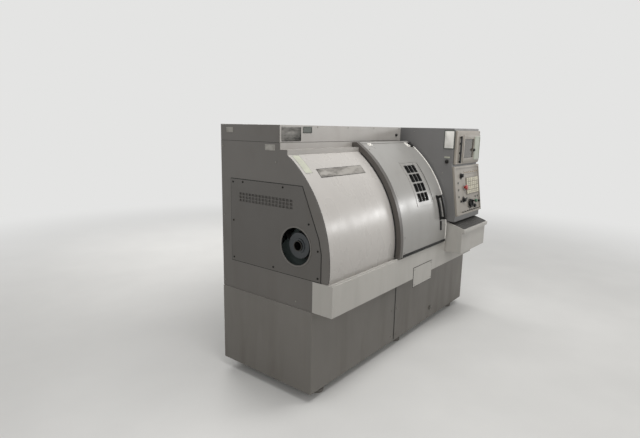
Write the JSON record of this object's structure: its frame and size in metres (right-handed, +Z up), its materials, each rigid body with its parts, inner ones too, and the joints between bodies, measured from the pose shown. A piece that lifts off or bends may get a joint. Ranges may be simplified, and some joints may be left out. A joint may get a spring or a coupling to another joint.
{
  "type": "cnc turning lathe",
  "caption": "Slant-bed turning lathe with a curved sliding door, a side console with operator panel, a turret, a three-jaw chuck and a rear electrical cabinet.",
  "frame": {"origin": "centre of the footprint of the whole machine, on the floor", "axes": "+X along the spindle from the left end to the console, +Y from the front to the back, +Z up"},
  "size_m": [2.33, 1.435, 1.7],
  "materials": {
    "light_paint": "satin",
    "apron_paint": "satin",
    "door_paint": "satin",
    "dark_paint": "satin",
    "end_paint": "satin",
    "base_paint": "satin",
    "band_paint": "matt",
    "casting_paint": "painted",
    "bright_steel": "ground",
    "dark_steel": "oiled",
    "black_plastic": "matt",
    "rubber": "matt",
    "window": "gloss",
    "screen": "gloss",
    "cream": "matt",
    "red": "gloss",
    "green": "gloss",
    "paper": "matt"
  },
  "bodies": {
    "machine": {"base_frame": "base_paint", "slant_bed": "casting_paint", "front_way": "bright_steel", "back_way": "bright_steel", "headstock": "casting_paint", "spindle_motor": "dark_paint", "drive_belt": "rubber", "chamber_wall": "light_paint", "way_cover_fixed": "bright_steel", "left_end_cover": "end_paint", "belt_cover": "end_paint", "fixed_front_shell": "light_paint", "door_header": "light_paint", "top_cap": "light_paint", "rear_cover": "end_paint", "right_end_cover": "base_paint", "control_housing": "dark_paint", "console_pedestal": "light_paint", "apron": "apron_paint", "apron_plate": "light_paint", "operator_panel": "light_paint", "display_unit": "light_paint", "display_screen": "screen", "keypad": "cream", "notice_holder": "paper", "electrical_cabinet": "end_paint", "z_servo_motor": "black_plastic"},
    "spindle_line": {"spindle": "bright_steel", "spindle_pulley": "dark_steel", "chuck_body": "bright_steel"},
    "draw_bar": {"draw_tube": "dark_steel"},
    "jaw_1": {"chuck_jaw_1": "dark_steel"},
    "jaw_2": {"chuck_jaw_2": "dark_steel"},
    "jaw_3": {"chuck_jaw_3": "dark_steel"},
    "motor_drive": {"motor_pulley": "dark_steel"},
    "saddle_slide": {"saddle": "casting_paint", "x_servo_motor": "black_plastic", "way_cover_moving": "bright_steel"},
    "z_screw": {"z_ball_screw": "bright_steel"},
    "middle_cover": {"way_cover_middle": "bright_steel"},
    "cross_carriage": {"cross_slide": "casting_paint", "turret_housing": "casting_paint"},
    "x_screw": {"x_ball_screw": "bright_steel"},
    "turret": {"turret_disc": "bright_steel", "turning_tool": "dark_steel", "boring_bar": "bright_steel"},
    "door": {"door_shell": "door_paint", "door_window": "window", "door_edge_band": "band_paint", "door_handle": "black_plastic"},
    "roller_left": {"door_roller_left": "dark_steel"},
    "roller_right": {"door_roller_right": "dark_steel"},
    "stop_button": {"emergency_stop": "red"},
    "start_button": {"cycle_button": "green"},
    "feed_dial": {"feed_knob": "black_plastic"},
    "mode_dial": {"mode_knob": "black_plastic"},
    "pulse_wheel": {"handwheel": "black_plastic"},
    "selector": {"side_selector": "black_plastic"},
    "rear_door": {"cabinet_door": "end_paint"},
    "mains": {"main_switch": "black_plastic"}
  },
  "joints": [
    {"name": "door_slide", "type": "slide", "parent": "machine", "child": "door", "axis": [-1, 0, 0], "range_m": [0, 0.65]},
    {"name": "left_roller_spin", "type": "hinge", "parent": "door", "child": "roller_left", "pos_m": [-0.315, -0.5495, 0.8193], "axis": [0, 1, 0], "range_deg": [-2500, 20]},
    {"name": "right_roller_spin", "type": "hinge", "parent": "door", "child": "roller_right", "pos_m": [0.275, -0.5495, 0.8193], "axis": [0, 1, 0], "range_deg": [-2500, 20]},
    {"name": "spindle_spin", "type": "hinge", "parent": "machine", "child": "spindle_line", "pos_m": [-0.565, -0.2765, 0.985], "axis": [1, 0, 0], "continuous": true},
    {"name": "motor_spin", "type": "hinge", "parent": "machine", "child": "motor_drive", "pos_m": [-1.04, 0.1325, 1.33], "axis": [1, 0, 0], "continuous": true},
    {"name": "draw_pull", "type": "slide", "parent": "spindle_line", "child": "draw_bar", "axis": [-1, 0, 0], "range_m": [0, 0.01]},
    {"name": "jaw_1_grip", "type": "slide", "parent": "spindle_line", "child": "jaw_1", "axis": [0, 0.7071, -0.7071], "range_m": [0, 0.005]},
    {"name": "jaw_2_grip", "type": "slide", "parent": "spindle_line", "child": "jaw_2", "axis": [0, 0.2588, 0.9659], "range_m": [0, 0.005]},
    {"name": "jaw_3_grip", "type": "slide", "parent": "spindle_line", "child": "jaw_3", "axis": [0, -0.9659, -0.2588], "range_m": [0, 0.005]},
    {"name": "saddle_travel", "type": "slide", "parent": "machine", "child": "saddle_slide", "axis": [1, 0, 0], "range_m": [-0.25, 0.06]},
    {"name": "z_screw_spin", "type": "hinge", "parent": "machine", "child": "z_screw", "pos_m": [0.135, -0.00426, 0.84004], "axis": [1, 0, 0], "range_deg": [-4600, 1150]},
    {"name": "middle_cover_travel", "type": "slide", "parent": "machine", "child": "middle_cover", "axis": [1, 0, 0], "range_m": [-0.125, 0.03]},
    {"name": "cross_travel", "type": "slide", "parent": "saddle_slide", "child": "cross_carriage", "axis": [0, 0.7071, 0.7071], "range_m": [-0.085, 0.008]},
    {"name": "x_screw_spin", "type": "hinge", "parent": "saddle_slide", "child": "x_screw", "pos_m": [0.105, -0.07448, 0.9244], "axis": [0, 0.7071, 0.7071], "range_deg": [-3300, 400]},
    {"name": "turret_index", "type": "hinge", "parent": "cross_carriage", "child": "turret", "pos_m": [-0.005, -0.10326, 1.15824], "axis": [1, 0, 0], "continuous": true},
    {"name": "stop_press", "type": "slide", "parent": "machine", "child": "stop_button", "axis": [0, 0.9903, -0.1386], "range_m": [0, 0.005], "stiffness_N_per_m": 600},
    {"name": "start_press", "type": "slide", "parent": "machine", "child": "start_button", "axis": [0, 0.9903, -0.1386], "range_m": [0, 0.003], "stiffness_N_per_m": 400},
    {"name": "feed_turn", "type": "hinge", "parent": "machine", "child": "feed_dial", "pos_m": [0.485, -0.60256, 1.32357], "axis": [0, -0.9903, 0.1386], "range_deg": [-150, 150]},
    {"name": "mode_turn", "type": "hinge", "parent": "machine", "child": "mode_dial", "pos_m": [0.511, -0.63006, 1.12707], "axis": [0, -0.9903, 0.1386], "range_deg": [-120, 120]},
    {"name": "pulse_turn", "type": "hinge", "parent": "machine", "child": "pulse_wheel", "pos_m": [0.641, -0.63556, 1.08777], "axis": [0, -0.9903, 0.1386], "continuous": true},
    {"name": "selector_turn", "type": "hinge", "parent": "machine", "child": "selector", "pos_m": [0.355, -0.5325, 1.44], "axis": [-1, 0, 0], "range_deg": [0, 90]},
    {"name": "rear_door_swing", "type": "hinge", "parent": "machine", "child": "rear_door", "pos_m": [-0.415, 0.7035, 0.925], "axis": [0, 0, 1], "range_deg": [0, 110]},
    {"name": "mains_turn", "type": "hinge", "parent": "machine", "child": "mains", "pos_m": [0.985, 0.5375, 1.3], "axis": [1, 0, 0], "range_deg": [0, 90]}
  ],
  "couplings": [
    {"joint": "left_roller_spin", "follows": "door_slide", "rad_per_m": -66.667},
    {"joint": "right_roller_spin", "follows": "door_slide", "rad_per_m": -66.667},
    {"joint": "motor_spin", "follows": "spindle_spin", "ratio": 1.5},
    {"joint": "jaw_1_grip", "follows": "draw_pull", "ratio": 0.5},
    {"joint": "jaw_2_grip", "follows": "draw_pull", "ratio": 0.5},
    {"joint": "jaw_3_grip", "follows": "draw_pull", "ratio": 0.5},
    {"joint": "z_screw_spin", "follows": "saddle_travel", "rad_per_m": 314.16},
    {"joint": "middle_cover_travel", "follows": "saddle_travel", "ratio": 0.5},
    {"joint": "x_screw_spin", "follows": "cross_travel", "rad_per_m": 628.32}
  ]
}
